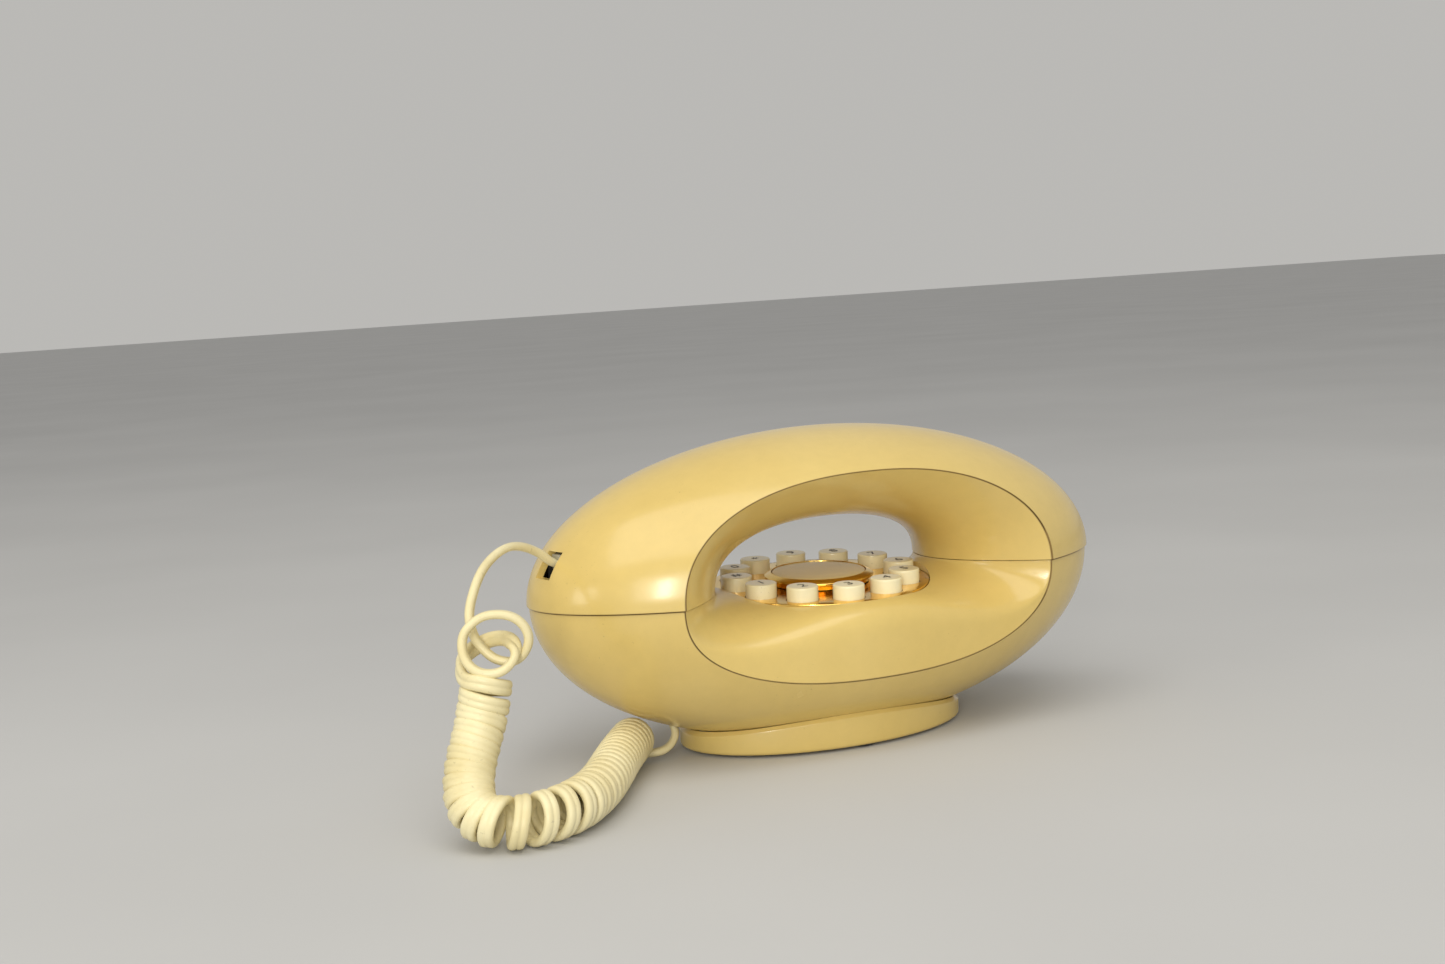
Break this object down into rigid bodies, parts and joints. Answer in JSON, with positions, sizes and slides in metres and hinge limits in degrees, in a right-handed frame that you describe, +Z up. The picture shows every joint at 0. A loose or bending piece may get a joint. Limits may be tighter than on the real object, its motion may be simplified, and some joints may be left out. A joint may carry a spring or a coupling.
{
  "type": "table telephone",
  "caption": "Compact egg-shaped push-button telephone: arched handset over a round dial, base on an oval foot, coiled handset cord.",
  "frame": {"origin": "on the table, under the centre of the body without its cord", "axes": "+X along the body's long axis towards the receiver end, +Z up, the user sits at -Y"},
  "size_m": [0.2797, 0.1362, 0.114],
  "materials": {
    "ivory_shell": "gloss moulded ABS, ivory yellowed with age",
    "ivory_disc": "satin ivory number disc",
    "key_white": "moulded keys with printed dark figures",
    "gold": "bright gold-tone plated plastic",
    "steel": "plain zinc-plated steel",
    "black_plastic": "black moulded plastic",
    "rubber": "soft rubber",
    "circuit_board": "phenolic circuit board",
    "clear_plug": "translucent modular plug",
    "cord": "satin vinyl cord"
  },
  "bodies": {
    "base": {"base_shell": "ivory_shell", "dial_housing": "ivory_shell", "foot": "ivory_shell", "dial_plate": "gold", "hub_ring": "gold", "hub_disc": "ivory_disc", "key_mat": "rubber", "keypad_board": "circuit_board", "main_board": "circuit_board", "sounder": "black_plastic", "hook_switch": "black_plastic", "line_jack": "black_plastic", "base_jack": "black_plastic", "base_plug": "clear_plug", "base_weight": "steel", "cord_lead_handset": "cord", "cord_coil": "cord", "cord_lead_base": "cord", "rubber_pad_1": "rubber", "base_screw_1": "steel", "rubber_pad_2": "rubber", "base_screw_2": "steel", "rubber_pad_3": "rubber", "base_screw_3": "steel", "rubber_pad_4": "rubber", "base_screw_4": "steel"},
    "handset": {"handset_shell": "ivory_shell", "handset_liner": "ivory_shell", "receiver_cap": "ivory_shell", "transmitter_cap": "ivory_shell", "receiver_gasket": "rubber", "transmitter_gasket": "rubber", "receiver_capsule": "steel", "transmitter_capsule": "black_plastic", "handset_screw_1": "steel", "handset_screw_2": "steel", "handset_ballast": "steel", "handset_jack": "black_plastic", "handset_plug": "clear_plug", "cord_tail": "cord"},
    "key_1_body": {"key_1": "key_white"},
    "key_2_body": {"key_2": "key_white"},
    "key_3_body": {"key_3": "key_white"},
    "key_4_body": {"key_4": "key_white"},
    "key_5_body": {"key_5": "key_white"},
    "key_6_body": {"key_6": "key_white"},
    "key_7_body": {"key_7": "key_white"},
    "key_8_body": {"key_8": "key_white"},
    "key_9_body": {"key_9": "key_white"},
    "key_star_body": {"key_star": "key_white"},
    "key_0_body": {"key_0": "key_white"},
    "key_hash_body": {"key_hash": "key_white"},
    "plunger": {"hook_plunger": "key_white"},
    "slider": {"ringer_slider": "black_plastic"}
  },
  "joints": [
    {"name": "handset_lift", "type": "slide", "parent": "base", "child": "handset", "axis": [0, 0, 1], "range_m": [0, 0.1]},
    {"name": "hook_plunger_rise", "type": "slide", "parent": "base", "child": "plunger", "axis": [0, 0, 1], "range_m": [0, 0.004]},
    {"name": "ringer_slide", "type": "slide", "parent": "base", "child": "slider", "axis": [1, 0, 0], "range_m": [-0.003, 0.003]},
    {"name": "key_1_press", "type": "slide", "parent": "base", "child": "key_1_body", "axis": [0, 0.06, -0.9982], "range_m": [0, 0.0025], "stiffness_N_per_m": 300},
    {"name": "key_2_press", "type": "slide", "parent": "base", "child": "key_2_body", "axis": [0, 0.06, -0.9982], "range_m": [0, 0.0025], "stiffness_N_per_m": 300},
    {"name": "key_3_press", "type": "slide", "parent": "base", "child": "key_3_body", "axis": [0, 0.06, -0.9982], "range_m": [0, 0.0025], "stiffness_N_per_m": 300},
    {"name": "key_4_press", "type": "slide", "parent": "base", "child": "key_4_body", "axis": [0, 0.06, -0.9982], "range_m": [0, 0.0025], "stiffness_N_per_m": 300},
    {"name": "key_5_press", "type": "slide", "parent": "base", "child": "key_5_body", "axis": [0, 0.06, -0.9982], "range_m": [0, 0.0025], "stiffness_N_per_m": 300},
    {"name": "key_6_press", "type": "slide", "parent": "base", "child": "key_6_body", "axis": [0, 0.06, -0.9982], "range_m": [0, 0.0025], "stiffness_N_per_m": 300},
    {"name": "key_7_press", "type": "slide", "parent": "base", "child": "key_7_body", "axis": [0, 0.06, -0.9982], "range_m": [0, 0.0025], "stiffness_N_per_m": 300},
    {"name": "key_8_press", "type": "slide", "parent": "base", "child": "key_8_body", "axis": [0, 0.06, -0.9982], "range_m": [0, 0.0025], "stiffness_N_per_m": 300},
    {"name": "key_9_press", "type": "slide", "parent": "base", "child": "key_9_body", "axis": [0, 0.06, -0.9982], "range_m": [0, 0.0025], "stiffness_N_per_m": 300},
    {"name": "key_star_press", "type": "slide", "parent": "base", "child": "key_star_body", "axis": [0, 0.06, -0.9982], "range_m": [0, 0.0025], "stiffness_N_per_m": 300},
    {"name": "key_0_press", "type": "slide", "parent": "base", "child": "key_0_body", "axis": [0, 0.06, -0.9982], "range_m": [0, 0.0025], "stiffness_N_per_m": 300},
    {"name": "key_hash_press", "type": "slide", "parent": "base", "child": "key_hash_body", "axis": [0, 0.06, -0.9982], "range_m": [0, 0.0025], "stiffness_N_per_m": 300}
  ],
  "couplings": [
    {"joint": "hook_plunger_rise", "follows": "handset_lift", "ratio": 0.04}
  ]
}
